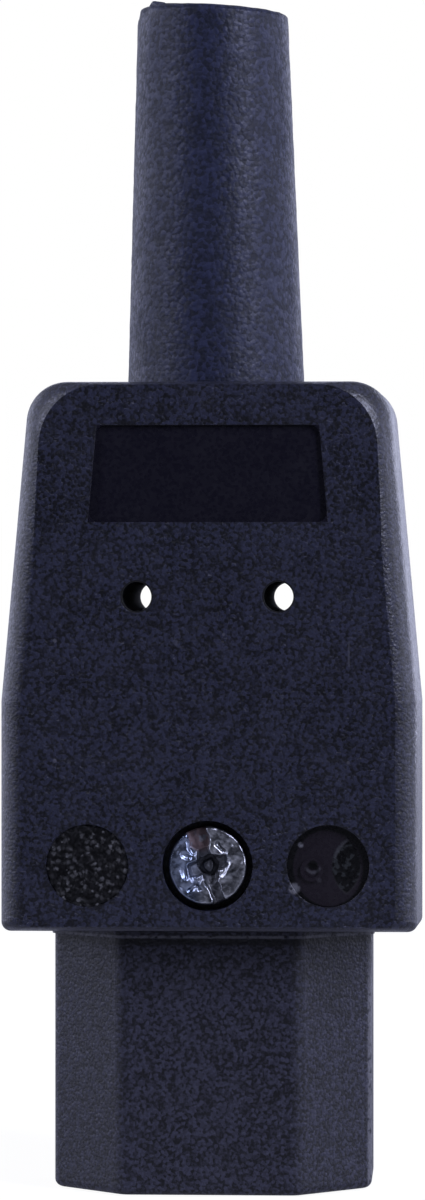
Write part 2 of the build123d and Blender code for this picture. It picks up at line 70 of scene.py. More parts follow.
# Studio
# A white sweep behind and under the connector, clear from below so that the nose's end can
# be looked at, a dim room in front of it, and a tall soft lamp on each side of the camera,
# with a weaker pair behind.
class Wire:
    """An output socket to reckon with: each sum or product adds its Math node."""

    def __init__(self, tree, output=None):
        self.tree = tree
        self.output = output

    def node(self, kind, settings=None, sockets=None, take=0):
        """Add one node: its settings come first, then its sockets' values or links."""
        made = self.tree.nodes.new(kind)
        for key, value in (settings or {}).items():
            setattr(made, key, value)
        for key, value in (sockets or {}).items():
            if isinstance(value, Wire):
                self.tree.links.new(value.output, made.inputs[key])
            else:
                made.inputs[key].default_value = value
        return Wire(self.tree, made.outputs[take] if made.outputs else None)

    def maths(self, operation, first, second=0.0):
        return self.node("ShaderNodeMath", {"operation": operation}, {0: first, 1: second})

    def __add__(self, other):
        return self.maths("ADD", self, other)

    __radd__ = __add__

    def __sub__(self, other):
        return self.maths("SUBTRACT", self, other)

    def __rsub__(self, other):
        return self.maths("SUBTRACT", other, self)

    def __mul__(self, other):
        return self.maths("MULTIPLY", self, other)

    __rmul__ = __mul__

    def __abs__(self):
        return self.maths("ABSOLUTE", self)

    def above(self, low, high):
        """0 under low, 1 over high and a smooth step between them."""
        limits = {"Value": self, "From Min": low, "From Max": high}
        return self.node("ShaderNodeMapRange", {"interpolation_type": "SMOOTHSTEP"}, limits)

    def tint(self, low, high):
        """Colour that goes from low to high as this value goes from 0 to 1."""
        return self.node(
            "ShaderNodeMix",
            {"data_type": "RGBA"},
            {
                0: self,
                6: low if isinstance(low, Wire) else (*low, 1),
                7: high if isinstance(high, Wire) else (*high, 1),
            },
            take=2,
        )


cool_light = (0.73, 0.76, 1.0)
room_front = 0.030
room_back = 2.60
room_behind = 0.16
room_above = 0.25
room_backdrop = 1.2
room_plain = 0.02
front_to_back = (-0.80, 0.25)
back_to_behind = (0.30, 0.90)
behind_to_backdrop = (0.90, 0.98)
level_to_above = (0.25, 0.65)
world = bpy.data.worlds.new("studio")
world.use_nodes = True
bpy.context.scene.world = world
world.node_tree.nodes.clear()
sky = Wire(world.node_tree)
facing = sky.node("ShaderNodeTexCoord", take="Generated")
back = sky.node("ShaderNodeSeparateXYZ", sockets={0: facing}, take="Y")
up = sky.node("ShaderNodeSeparateXYZ", sockets={0: facing}, take="Z")
seen = sky.node("ShaderNodeLightPath", take="Is Camera Ray")
mirrored = sky.node("ShaderNodeLightPath", take="Is Glossy Ray")
sweep = room_front + (room_back - room_front) * back.above(*front_to_back)
sweep = sweep * (1 - (1 - room_behind) * back.above(*back_to_behind))
sweep = sweep * (1 - (1 - room_above) * up.above(*level_to_above))
sweep = sweep + room_backdrop * back.above(*behind_to_backdrop)
room = mirrored * sweep + (1 - mirrored) * room_plain
tone = seen.tint(cool_light, (1, 1, 1))
light = sky.node("ShaderNodeBackground", sockets={"Color": tone, "Strength": seen + (1 - seen) * room})
sky.node("ShaderNodeOutputWorld", sockets={"Surface": light})

floor_size = 3.0
floor_level = -0.0001
floor_white = 0.86
floor_seen = 1.18
floor_glow_share = 0.80
floor_near = 0.50
floor_far = 0.02
floor_beside = 0.60
near_to_far = (0.02, 0.12)
clear_of_nose = (0.05, 0.15)
front_cone_share = 0.5
front_to_side = (0, 0.1)
bpy.ops.mesh.primitive_plane_add(size=floor_size, location=(0, 0, floor_level))
floor = bpy.context.object
floor.name = "floor"
paper = bpy.data.materials.new("sweep_paper")
paper.use_nodes = True
paper.node_tree.nodes.clear()
sheet = Wire(paper.node_tree)
seen = sheet.node("ShaderNodeLightPath", take="Is Camera Ray")
mirrored = sheet.node("ShaderNodeLightPath", take="Is Glossy Ray")
place = sheet.node("ShaderNodeTexCoord", take="Object")
back = sheet.node("ShaderNodeSeparateXYZ", sockets={0: place}, take="Y")
away = sheet.node("ShaderNodeVectorMath", {"operation": "LENGTH"}, {0: place}, take="Value")
beside = (back + front_cone_share * away).above(*front_to_side) * away.above(*clear_of_nose)
bounced = floor_near + (floor_far - floor_near) * away.above(*near_to_far)
bounced = bounced + floor_beside * mirrored * beside
tone = seen.tint(cool_light, (floor_seen, floor_seen, floor_seen))
glow = sheet.node("ShaderNodeEmission", sockets={"Color": tone, "Strength": seen + (1 - seen) * bounced})
matt = sheet.node("ShaderNodeBsdfDiffuse", sockets={"Color": (floor_white, floor_white, floor_white, 1)})
lit = sheet.node("ShaderNodeMixShader", sockets={0: floor_glow_share, 1: matt, 2: glow})
clear = sheet.node("ShaderNodeBsdfTransparent")
underneath = sheet.node("ShaderNodeNewGeometry", take="Backfacing")
surface = sheet.node("ShaderNodeMixShader", sockets={0: underneath, 1: lit, 2: clear})
sheet.node("ShaderNodeOutputMaterial", sockets={"Surface": surface})
floor.data.materials.append(paper)

lamp_aim = 0.045
for name, degrees_right, distance, height, width, length, watts in (
    ("lamp_right", 50, 0.52, 0.36, 0.12, 0.40, 3.2),
    ("lamp_left", -62, 0.52, 0.36, 0.12, 0.40, 1.6),
    ("lamp_back_right", 152, 0.60, 0.14, 0.12, 0.50, 0.6),
    ("lamp_back_left", -140, 0.60, 0.14, 0.12, 0.50, 0.4),
):
    lamp = bpy.data.objects.new(name, bpy.data.lights.new(name, "AREA"))
    lamp.data.shape = "RECTANGLE"
    lamp.data.size = width
    lamp.data.size_y = length
    lamp.data.energy = watts
    lamp.data.color = cool_light
    turn = math.radians(degrees_right)
    lamp.location = (distance * math.sin(turn), -distance * math.cos(turn), height)
    lamp.rotation_euler = (math.atan2(distance, height - lamp_aim), 0, turn)
    bpy.context.collection.objects.link(lamp)


# Housing shells
# Two halves injection moulded in black nylon, with a fine spark-eroded grain outside. The
# front cover has a bare sunk field, two tie holes and three discs in a row.
mm = 0.001
fine_limits = (0.44, 0.62)
fine_strength = 0.45
cell_limits = (0.46, 0.66)
cell_strength = 0.65
speckle_polish = 0.12
mottle_scale_share = 0.10
mottle_tone = 0.25
mottle_polish = 0.16
fine_rise = 0.6
cell_rise = 0.5
spot_dip = 0.4


def plastic(name, deep, pale, grain, grain_depth, roughness, gloss, marks=None):
    """Moulded plastic with an eroded grain, as speckles of two tones and as bump."""
    made = bpy.data.materials.new(name)
    made.use_nodes = True
    made.node_tree.nodes.clear()
    mat = Wire(made.node_tree)
    place = mat.node("ShaderNodeTexCoord", take="Object")
    fine = mat.node("ShaderNodeTexNoise", sockets={"Vector": place, "Scale": grain, "Detail": 2.0})
    spots = mat.node("ShaderNodeTexVoronoi", sockets={"Vector": place, "Scale": grain})
    cells = mat.node("ShaderNodeTexVoronoi", sockets={"Vector": place, "Scale": grain}, take="Color")
    broad = mat.node("ShaderNodeTexNoise", sockets={"Vector": place, "Scale": mottle_scale_share * grain})
    speckle = fine_strength * fine.above(*fine_limits) + cell_strength * cells.above(*cell_limits)
    colour = (speckle + mottle_tone * (broad - 0.5)).tint(deep, pale)
    height = fine_rise * fine + cell_rise * cells - spot_dip * spots
    shine = roughness + mottle_polish * (broad - 0.5) - speckle_polish * speckle
    if marks:
        colour, height, shine = marks(mat, place, colour, height, shine)
    relief = {"Height": height, "Distance": grain_depth, "Strength": 1.0}
    bump = mat.node("ShaderNodeBump", sockets=relief, take="Normal")
    shader = mat.node(
        "ShaderNodeBsdfPrincipled",
        sockets={"Base Color": colour, "Roughness": shine, "Normal": bump, "Specular IOR Level": gloss},
    )
    mat.node("ShaderNodeOutputMaterial", sockets={"Surface": shader})
    return made


def dress(node, material):
    """Give a moulded or turned piece its finish."""
    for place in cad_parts[node].material_slots:
        place.material = material


foot_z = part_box("front_cover")[0][2]
parting_line = (0.05 * mm, 0.14 * mm)
tie_x = 5.25 * mm
tie_z = foot_z + 24.95 * mm
tie_reach = 1.22 * mm
tie_soft_share = 0.97
# Tone of painted shade (tie holes, right disc's rim and dimple) and of dark marks: parting line, leaf
# streaks, ragged rim
shade_and_dark_mark_tone = (0.0006, 0.0006, 0.0010)


def shell_marks(mat, place, colour, height, shine):
    """Dark parting line between the shells, and a painted shadow, black and dull, inside the two tie holes.
    """
    x, y, z = (mat.node("ShaderNodeSeparateXYZ", sockets={0: place}, take=axis) for axis in "XYZ")
    across, along = abs(x) - tie_x, z - tie_z
    # Painted shade inside the two tie holes; the parting line is a dark joint
    outside = (across * across + along * along).above((tie_soft_share * tie_reach) ** 2, tie_reach**2)
    outside = outside * abs(y).above(*parting_line)
    return outside.tint(shade_and_dark_mark_tone, colour), height * outside, shine + (1 - outside)


# Sunk field, whose sides lean, and the fine line that its insert left
front_depth = (9.8 * mm, 10.0 * mm)
field_middle_z = foot_z + 34.05 * mm
field_half_height = 3.6 * mm
field_half_width = 8.575 * mm
field_lean = -0.09
witness_edge = 0.03 * mm
smooth_tone = (0.0066, 0.0060, 0.0115)
smooth_share = 0.9
smooth_polish = 0.08

# Right disc: round marks, each by x and z from its centre, radius and soft edge in mm
disc_z = foot_z + 5.05 * mm
disc_x = 8.9 * mm
disc_radius = 3.05 * mm
# Some marks place painted light: the unshaded_ circles leave painted shade at the rim, the dimple is painted
# shade, and the ring and leaf_inner bound painted highlights
disc_marks_mm = {
    "leaf": (2.75, 0, 2.45, 0.10),
    "leaf_limit": (-0.15, 0, 2.55, 0.10),
    "leaf_inner": (2.85, -0.08, 2.35, 0.08),
    "unshaded_from_left": (0.32, -0.12, 2.90, 0.10),
    "unshaded_from_right": (-0.22, -0.20, 2.82, 0.10),
    "dimple": (-1.11, 0.07, 0.34, 0.10),
    "ring_outer": (-1.11, 0.01, 0.60, 0.08),
    "ring_inner": (-1.11, 0.11, 0.48, 0.08),
    "low_chip": (-2.48, -1.66, 0.34, 0.16),
    "high_chip": (-2.02, 1.55, 0.16, 0.10),
    "nick": (-0.65, -1.05, 0.14, 0.10),
}
ring_top = disc_z + 0.07 * mm
ring_fade = 0.4 * mm
ring_strength = 0.30
leaf_edge_fade = 1.0 * mm
leaf_edge_strength = 0.22
leaf_rise = 0.8
leaf_pale_limits = (0.40, 0.60)
leaf_dark_limits = (0.60, 0.50)
nick_strength = 0.15
chip_limits = (0.36, 0.56)
dial_tone = (0.0120, 0.0092, 0.0135)
leaf_tone = (0.0200, 0.0225, 0.0240)
chip_and_highlight_tone = (0.16, 0.16, 0.18)

# Ragged dark rim round the left disc
ragged_radius = disc_radius + 0.14 * mm
ragged_soft = 0.18 * mm
ragged_limits = (0.44, 0.54)
ragged_strength = 0.8

# Faint lines: height over the foot, start, end (mm) and strength, with the dark ones below 0
lines_mm = (
    (21.45, -11.3, 10.5, 0.16),
    (12.85, -11.3, 10.5, 0.16),
    (10.10, -11.0, 11.0, 0.08),
    (19.50, -11.0, 11.4, -0.30),
    (19.05, -11.0, 11.4, -0.20),
)
line_half_width = 0.10 * mm
line_soft = 0.08 * mm
line_fade = 0.2 * mm
line_limits = (0.38, 0.60)
line_tone = (0.13, 0.13, 0.16)

# Upright tick, a smudge, and flecks: x, height over the foot, radius and soft edge in mm
tick_x = 10.45 * mm
tick_z = foot_z + 20.70 * mm
tick_half_width = 0.06 * mm
tick_soft = (-0.05 * mm, 0.03 * mm)
tick_half_height = 1.0 * mm
tick_fade = 0.1 * mm
tick_strength = 0.25
smudge_mm = (-2.2, 21.65, 0.55, 0.3)
smudge_limits = (0.5, 0.6)
smudge_strength = 0.2
flecks_mm = (
    (-11.3, 21.70, 0.14, 0.05),
    (-11.3, 12.80, 0.14, 0.05),
    (10.4, 12.70, 0.12, 0.05),
    (1.2, 22.15, 0.10, 0.05),
)
fleck_strength = 0.4

# Painted highlight along the lower edge
foot_highlight_height = 0.60 * mm
foot_highlight_fade = 0.35 * mm
foot_highlight_strength = 0.55
foot_highlight_tone = (0.160, 0.160, 0.195)
patch_scale = 2600


def cover_marks(mat, place, colour, height, shine):
    """Smooth field and dial, chipped spots at the dial's rim, faint lines of the mould's insert, and painted
    light: shadow at the dial's rim and in its dimple, highlights on the ring's lower arc, the leaf's upper
    edge and the face's lower edge.
    """
    x, y, z = (mat.node("ShaderNodeSeparateXYZ", sockets={0: place}, take=axis) for axis in "XYZ")
    patchy = mat.node("ShaderNodeTexNoise", sockets={"Vector": place, "Scale": patch_scale, "Detail": 3.0})
    front = (-1 * y).above(*front_depth)

    def near(centre_x, centre_z, radius, soft):
        """1 near a centre, and 0 past a radius."""
        across, along = x - centre_x, z - centre_z
        return 1 - (across * across + along * along).above((radius - soft) ** 2, (radius + soft) ** 2)

    def on_face(fleck_mm):
        """1 on a round fleck of the face."""
        aside, raised, radius, soft = (mm * size for size in fleck_mm)
        return near(aside, foot_z + raised, radius, soft)

    mark = {
        name: near(disc_x + aside * mm, disc_z + raised * mm, radius * mm, soft * mm)
        for name, (aside, raised, radius, soft) in disc_marks_mm.items()
    }

    half_width = field_half_width + field_lean * (z - field_middle_z)
    field = (half_width - abs(x)).above(-witness_edge, witness_edge)
    field = field * (field_half_height - abs(z - field_middle_z)).above(-witness_edge, witness_edge) * front
    colour = field.tint(colour, smooth_tone)

    dial = near(disc_x, disc_z, disc_radius, witness_edge) * front
    colour = dial.tint(colour, dial_tone)
    leaf = mark["leaf"] * mark["leaf_limit"] * dial
    colour = (leaf * patchy.above(*leaf_pale_limits)).tint(colour, leaf_tone)
    # Painted shade: dark crescents at the dial's rim from left and right, and a dark dimple, together with
    # the leaf's own dark streaks
    painted_shade_and_streaks = 1 - mark["unshaded_from_left"] + 1 - mark["unshaded_from_right"] + mark["dimple"]
    painted_shade_and_streaks = painted_shade_and_streaks + leaf * patchy.above(*leaf_dark_limits)
    colour = (dial * painted_shade_and_streaks.above(0, 1)).tint(colour, shade_and_dark_mark_tone)

    lines = 0 * x
    for raised, start, end, strength in lines_mm:
        span = (x - start * mm).above(0, line_fade) * (end * mm - x).above(0, line_fade)
        aside = line_half_width - abs(z - (foot_z + raised * mm))
        lines = lines + strength * aside.above(-line_soft, line_soft) * span
    tick = (tick_half_width - abs(x - tick_x)).above(*tick_soft)
    tick = tick * (tick_half_height - abs(z - tick_z)).above(0, tick_fade)
    worn = lines.above(0, 1) * patchy.above(*line_limits) + tick_strength * tick
    worn = worn + smudge_strength * on_face(smudge_mm) * patchy.above(*smudge_limits)
    for fleck_mm in flecks_mm:
        worn = worn + fleck_strength * on_face(fleck_mm)
    colour = (worn * front * (1 - field) * (1 - dial)).tint(colour, line_tone)
    colour = (-1 * lines * front).above(0, 1).tint(colour, smooth_tone)

    # Painted highlights on the ring's lower arc and on the leaf's upper edge; the chipped spots and the nick
    # are wear
    ring = mark["ring_outer"] * (1 - mark["ring_inner"]) * (ring_top - z).above(0, ring_fade)
    leaf_edge = leaf * (1 - mark["leaf_inner"]) * (z - disc_z).above(0, leaf_edge_fade)
    chips_and_highlights = (mark["low_chip"] + mark["high_chip"]) * patchy.above(*chip_limits) + nick_strength * mark["nick"]
    chips_and_highlights = chips_and_highlights + ring_strength * dial * ring + leaf_edge_strength * leaf_edge
    colour = (chips_and_highlights * front).tint(colour, chip_and_highlight_tone)

    ragged = near(-disc_x, disc_z, ragged_radius, ragged_soft) * patchy.above(*ragged_limits)
    colour = (ragged_strength * ragged * front).tint(colour, shade_and_dark_mark_tone)
    # Painted highlight along the face's lower edge
    painted_highlight = (foot_z + foot_highlight_height - z).above(0, foot_highlight_fade)
    colour = (foot_highlight_strength * painted_highlight * front).tint(colour, foot_highlight_tone)

    smooth = (field + dial).above(0, 1)
    height = height * (1 - smooth_share * smooth) + leaf_rise * leaf
    return shell_marks(mat, place, colour, height, shine - smooth_polish * smooth)


housing_deep = (0.0012, 0.0014, 0.0036)
housing_pale = (0.0300, 0.0325, 0.0570)
grain_scale = 4200
housing_grain_depth = 0.045 * mm
housing_roughness = 0.42
housing_gloss = 0.52
for node, name, marks in (
    ("front_cover", "cover_plastic", cover_marks),
    ("rear_shell", "shell_plastic", shell_marks),
):
    housing_plastic = plastic(
        name, housing_deep, housing_pale, grain_scale, housing_grain_depth, housing_roughness, housing_gloss,
        marks,
    )
    dress(node, housing_plastic)

# Contact carrier
# The nose with its thin collar, moulded in one piece of harder black plastic, a little
# smoother than the shells. A plate inside closes its three chambers.
nose_deep = (0.0010, 0.0010, 0.0030)
nose_pale = (0.0380, 0.0390, 0.0620)
nose_grain_depth = 0.05 * mm
# Painted highlights on the nose's right edge and collar, and a painted shadow under the collar
nose_highlight_tone = (0.200, 0.200, 0.225)
nose_patch_scale = 2200
nose_patch_limits = (0.30, 0.50)
edge_x = 11.62 * mm
edge_soft = 0.16 * mm
edge_y = -2.3 * mm
edge_fade = 1.0 * mm
edge_top = 11.5 * mm
edge_top_fade = 9.0 * mm
edge_full = 1.12
edge_strength = 0.6
collar_highlight_band = (19.13 * mm, 19.45 * mm)
collar_soft = 0.12 * mm
collar_strength = 0.55
# Painted shadow of the collar on the nose below it
collar_shadow_band = (18.55 * mm, 19.10 * mm)
collar_shadow_fade = 0.25 * mm
collar_shadow_soft = 0.10 * mm
collar_shadow_strength = 0.8
collar_shadow_tone = (0.0005, 0.0005, 0.0010)


def nose_marks(mat, place, colour, height, shine):
    """Painted highlights down the right edge and along the collar, and a painted shadow line under the
    collar.
    """
    x, y, z = (mat.node("ShaderNodeSeparateXYZ", sockets={0: place}, take=axis) for axis in "XYZ")
    patches = {"Vector": place, "Scale": nose_patch_scale, "Detail": 2.0}
    patchy = mat.node("ShaderNodeTexNoise", sockets=patches)
    # Painted highlight down the right edge and along the collar
    edge = (x - edge_x).above(0, edge_soft) * (1 - (y - edge_y).above(0, edge_fade))
    edge = edge * (edge_full - (z - edge_top).above(0, edge_top_fade)).above(0, 1)
    collar = (z - collar_highlight_band[0]).above(0, collar_soft) * (collar_highlight_band[1] - z).above(0, collar_soft)
    # Painted shadow line under the collar
    under = (z - collar_shadow_band[0]).above(0, collar_shadow_fade) * (1 - (z - collar_shadow_band[1]).above(0, collar_shadow_soft))
    painted_highlight = (edge_strength * edge + collar_strength * collar) * patchy.above(*nose_patch_limits)
    colour = painted_highlight.tint(colour, nose_highlight_tone)
    return (collar_shadow_strength * under).tint(colour, collar_shadow_tone), height, shine


nose_plastic = plastic(
    "nose_plastic", nose_deep, nose_pale, grain_scale, nose_grain_depth,
    roughness=0.50, gloss=0.40, marks=nose_marks,
)
dress("contact_carrier", nose_plastic)
dress("contact_retainer", nose_plastic)

# Cord clamp
# Moulded bar with a grip rib, pressed on the cord by its two screws inside the housing.
clamp_deep = (0.030, 0.030, 0.032)
clamp_pale = (0.062, 0.062, 0.066)
clamp_plastic = plastic(
    "clamp_plastic", clamp_deep, clamp_pale, grain=3000, grain_depth=0.03 * mm, roughness=0.48, gloss=0.45
)
dress("cord_clamp", clamp_plastic)


# Nut, wire guards, contacts and terminals
# The nut is cut from mild steel and zinc plated like the screws, the guards are spring
# steel. Contacts are folded from brass strip, and the terminal blocks are drawn brass.
cloud_scale = 1300
cloud_limits = (0.3, 0.7)
cloud_polish = 0.22
scratch_scale = 2600
scratch_stretch = (1, 1, 9)
scratch_polish = 0.12


def metal(name, deep, pale, roughness, scratch_depth, marks=None):
    """Worn metal: clouded tone, uneven polish and fine scratches as bump."""
    made = bpy.data.materials.new(name)
    made.use_nodes = True
    made.node_tree.nodes.clear()
    mat = Wire(made.node_tree)
    place = mat.node("ShaderNodeTexCoord", take="Object")
    cloud = mat.node("ShaderNodeTexNoise", sockets={"Vector": place, "Scale": cloud_scale, "Detail": 4.0})
    drawn = mat.node("ShaderNodeMapping", sockets={"Vector": place, "Scale": scratch_stretch})
    scratch = mat.node("ShaderNodeTexNoise", sockets={"Vector": drawn, "Scale": scratch_scale, "Detail": 2.0})
    colour = cloud.above(*cloud_limits).tint(deep, pale)
    shine = roughness + cloud_polish * (cloud - 0.5) + scratch_polish * (scratch - 0.5)
    bare = 1.0
    if marks:
        colour, shine, bare = marks(mat, place, colour, shine)
    relief = {"Height": scratch, "Distance": scratch_depth, "Strength": 1.0}
    bump = mat.node("ShaderNodeBump", sockets=relief, take="Normal")
    shader = mat.node(
        "ShaderNodeBsdfPrincipled",
        sockets={"Base Color": colour, "Roughness": shine, "Metallic": bare, "Normal": bump},
    )
    mat.node("ShaderNodeOutputMaterial", sockets={"Surface": shader})
    return made


scratch_depth = 0.006 * mm
zinc_deep = (0.34, 0.35, 0.39)
zinc_pale = (0.66, 0.67, 0.72)
brass_deep = (0.60, 0.44, 0.20)
brass_pale = (0.84, 0.67, 0.38)
zinc = metal("zinc_plate", zinc_deep, zinc_pale, roughness=0.34, scratch_depth=scratch_depth)
brass = metal("drawn_brass", brass_deep, brass_pale, roughness=0.30, scratch_depth=scratch_depth)
dress("closing_nut", zinc)
for pole in ("live", "neutral", "earth"):
    dress(f"{pole}_wire_guard", zinc)
    dress(f"{pole}_contact", brass)
    dress(f"{pole}_terminal", brass)


# Closing screw
# Turned and rolled M3 screw, its head sunk in the front cover's counterbore. Screwdrivers
# have chewed the recess: a slot right across, a cross over it and a pit in the middle.
def turned(name, rings, around, seat, shape):
    """Closed skin over rings of (radius, height); a ring of no radius is one point."""
    mesh = bmesh.new()
    loops = []
    for number, (radius, height) in enumerate(rings):
        loop = []
        for step in range(around if radius else 1):
            angle = math.tau * step / around
            point = Vector((radius * math.cos(angle), radius * math.sin(angle), height))
            loop.append(mesh.verts.new(seat(shape(point, angle, number))))
        loops.append(loop)
    if len(loops[0]) > 1:
        loops.append(loops[0])
    for low, high in zip(loops, loops[1:]):
        for step in range(around):
            corners = [low[step % len(low)], low[(step + 1) % len(low)]]
            corners += [high[(step + 1) % len(high)], high[step % len(high)]]
            mesh.faces.new(dict.fromkeys(corners))
    bmesh.ops.recalc_face_normals(mesh, faces=mesh.faces)
    for face in mesh.faces:
        face.smooth = True
    data = bpy.data.meshes.new(name)
    mesh.to_mesh(data)
    mesh.free()
    piece = bpy.data.objects.new(name, data)
    bpy.context.collection.objects.link(piece)
    return piece


def plateau(distance, reach, slope):
    """1 up to a reach, falling smoothly to 0 over a slope."""
    share = min(max((reach + slope - distance) / slope, 0), 1)
    return share * share * (3 - 2 * share)


def bumpy(point, size, start=(0, 0, 0)):
    """Smooth noise between -1 and 1 with swells of one size."""
    return noise.noise(point / size + Vector(start))


thread_pitch = 0.5 * mm
thread_radius = 1.45 * mm
thread_depth = 0.27 * mm
steps_a_turn = 6
deepest_share = 0.9


def screw(node, around, head_rings, head_round, head_height, thread_length, face, material):
    """Threaded screw in a node's place, its head towards the front and its face sunk by face()."""
    low, high = (Vector(corner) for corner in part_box(node))
    middle = (low + high) / 2
    head_radius = (high.x - low.x) / 2
    end = high.y - low.y
    start = end - thread_length
    rings = [(head_radius * step / head_rings, 0) for step in range(head_rings + 1)]
    rings += [(head_radius, head_height), (thread_radius, head_height), (thread_radius, start)]
    steps = round(thread_length / thread_pitch * steps_a_turn)
    rings += [(thread_radius, start + thread_length * (step + 1) / steps) for step in range(steps)]
    rings.append((0, end))
    first_thread = head_rings + 4

    def shape(point, angle, number):
        if number <= head_rings:
            over = max(point.xy.length - (head_radius - head_round), 0)
            edge = head_round - math.sqrt(max(head_round**2 - over**2, 0))
            return point + Vector((0, 0, min(face(point) + edge, deepest_share * head_height)))
        if number < first_thread or number == len(rings) - 1:
            return point
        groove = abs(2 * ((point.z / thread_pitch + angle / math.tau) % 1) - 1)
        lead = min((len(rings) - 1 - number) / steps_a_turn, 1)
        thinner = 1 - thread_depth * max(groove, 1 - lead) / thread_radius
        return Vector((point.x * thinner, point.y * thinner, point.z))

    def seat(point):
        return Vector((middle.x + point.x, low.y + point.z, middle.z + point.y))

    piece = turned(f"{node}_threaded", rings, around, seat, shape)
    piece.data.materials.append(material)
    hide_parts(node)
    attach(piece, node)


# Recess: slot with a flared upper end, cross, and pit with a raised core
slot_tilt = math.radians(18)
slot_half = 0.36 * mm
slot_depth = 0.55 * mm
slot_flare = 0.30 * mm
slot_end = 2.9 * mm
flare_reach = 1.0 * mm
flare_slope = 0.8 * mm
wall_slope = 0.14 * mm
cross_half = 0.46 * mm
cross_narrowing_share = 0.45
cross_depth = 1.05 * mm
cross_rise_share = 0.40
cross_length = 1.7 * mm
cross_reach = 1.20 * mm
pit_depth = 1.30 * mm
pit_radius = 0.74 * mm
core_height = 0.42 * mm
core_radius = 0.42 * mm
core_slope = 0.10 * mm

# Wear: wandering walls, burrs, dents, fine roughness, and gouges from x, y to x, y in mm
wander_reach = 0.16 * mm
wander_size = (0.7 * mm, 0.6 * mm)
burr_height = 0.30 * mm
burr_size = 0.45 * mm
dent_depth = 0.13 * mm
dent_size = 0.8 * mm
rough_depth = 0.04 * mm
rough_size = 0.28 * mm
gouge_depth = 0.20 * mm
gouge_reach = 0.30 * mm
gouges_mm = (
    (-1.80, 0.85, -1.45, 0.55),
    (-1.82, -0.15, -1.68, -0.85),
    (-1.20, -0.85, -0.62, -1.72),
    (-0.50, -0.95, -1.22, -1.78),
    (-1.50, 1.85, -1.10, 0.95),
    (1.58, 0.32, 0.92, -0.72),
    (0.75, 1.60, 1.20, 1.05),
    (0.15, -0.90, 0.10, -1.35),
)


def chewed_face(point):
    """Depth of the chewed recess under the head's top plane."""
    wander = Vector((bumpy(point, wander_size[0]), bumpy(point, wander_size[1], (9, 4, 2)), 0))
    spot = point + wander * wander_reach
    radius = spot.xy.length
    across = abs(spot.x * math.cos(slot_tilt) + spot.y * math.sin(slot_tilt))
    ahead = spot.y * math.cos(slot_tilt) - spot.x * math.sin(slot_tilt)
    along = abs(ahead)
    half = slot_half + slot_flare * plateau(slot_end - ahead, flare_reach, flare_slope)
    cuts = [(slot_depth, plateau(across, half, wall_slope))]
    for aside, onward in ((across, along), (along, across)):
        half = cross_half * (1 - cross_narrowing_share * onward / cross_length)
        arm = plateau(aside, half, 2 * wall_slope) * plateau(onward, cross_reach, 3 * wall_slope)
        cuts.append((cross_depth * (1 - cross_rise_share * onward / cross_length), arm))
    cuts.append((pit_depth, plateau(radius, pit_radius, wall_slope)))
    sunk = max(depth * share for depth, share in cuts)
    sunk -= core_height * plateau(radius, core_radius, core_slope)
    inside = max(share for depth, share in cuts)
    for start_x, start_y, end_x, end_y in gouges_mm:
        start = Vector((start_x, start_y)) * mm
        run = Vector((end_x, end_y)) * mm - start
        reached = min(max((spot.xy - start).dot(run) / run.length_squared, 0), 1)
        off_line = (spot.xy - start - run * reached).length
        sunk += gouge_depth * (1 - inside) * plateau(off_line, 0, gouge_reach)
    on_wall = 4 * inside * (1 - inside)
    sunk -= burr_height * on_wall * max(bumpy(point, burr_size, (3, 1, 5)), 0)
    sunk += dent_depth * bumpy(point, dent_size, (7, 3, 0))
    return sunk + rough_depth * bumpy(point, rough_size)


# Tints: bluish left half, darker and duller deeper than the top plane, and a brown, bare upper slot end
head_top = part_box("closing_screw")[0][1]
blue_x = 0.2 * mm
blue_fade = 1.6 * mm
blue_strength = 0.65
blue_tone = (0.27, 0.34, 0.50)
recess_dark_depth = 0.15 * mm
recess_dark_fade = 0.7 * mm
recess_dark_strength = 0.80
recess_dark_tone = (0.050, 0.052, 0.062)
recess_dark_dullness = 0.25
recess_dark_cover_share = 0.25
brown_x = -0.62 * mm
brown_z = 2.15 * mm
brown_reach = (0.75 * mm, 1.35 * mm)
brown_depth = 0.08 * mm
brown_fade = 0.25 * mm
brown_limits = (0.28, 0.45)
brown_strength = 0.85
brown_tone = (0.135, 0.080, 0.076)
brown_dullness = 0.2
brown_cover_share = 0.6
stain_scale = 1500


def head_marks(mat, place, colour, shine):
    """Bluish left half, darker and duller deeper in the recess, and a brown, bare upper slot end."""
    x, y, z = (mat.node("ShaderNodeSeparateXYZ", sockets={0: place}, take=axis) for axis in "XYZ")
    patchy = mat.node("ShaderNodeTexNoise", sockets={"Vector": place, "Scale": stain_scale, "Detail": 3.0})
    blue = (blue_x - x).above(0, blue_fade)
    colour = (blue_strength * blue).tint(colour, blue_tone)
    recess_dark = (y - (head_top + recess_dark_depth)).above(0, recess_dark_fade)
    colour = (recess_dark_strength * recess_dark).tint(colour, recess_dark_tone)
    across, along = x - brown_x, z - (disc_z + brown_z)
    brown = 1 - (across * across + along * along).above(brown_reach[0] ** 2, brown_reach[1] ** 2)
    brown = brown * (y - (head_top + brown_depth)).above(0, brown_fade) * patchy.above(*brown_limits)
    colour = (brown_strength * brown).tint(colour, brown_tone)
    shine = shine + recess_dark_dullness * recess_dark + brown_dullness * brown
    return colour, shine, 1 - brown_cover_share * brown - recess_dark_cover_share * recess_dark


worn_deep = (0.20, 0.21, 0.23)
worn_pale = (0.52, 0.53, 0.56)
worn_zinc = metal(
    "worn_zinc", worn_deep, worn_pale, roughness=0.30, scratch_depth=0.010 * mm, marks=head_marks
)
screw(
    "closing_screw", around=180, head_rings=64, head_round=0.24 * mm, head_height=2.0 * mm,
    thread_length=9.0 * mm, face=chewed_face, material=worn_zinc,
)


# Terminal screws and clamp screws
# Slotted set screws press the wires in the terminals, and slotted pan head screws draw the
# clamp on the cord. Both are zinc plated steel with rolled M3 threads.
slot_wall = 0.04 * mm


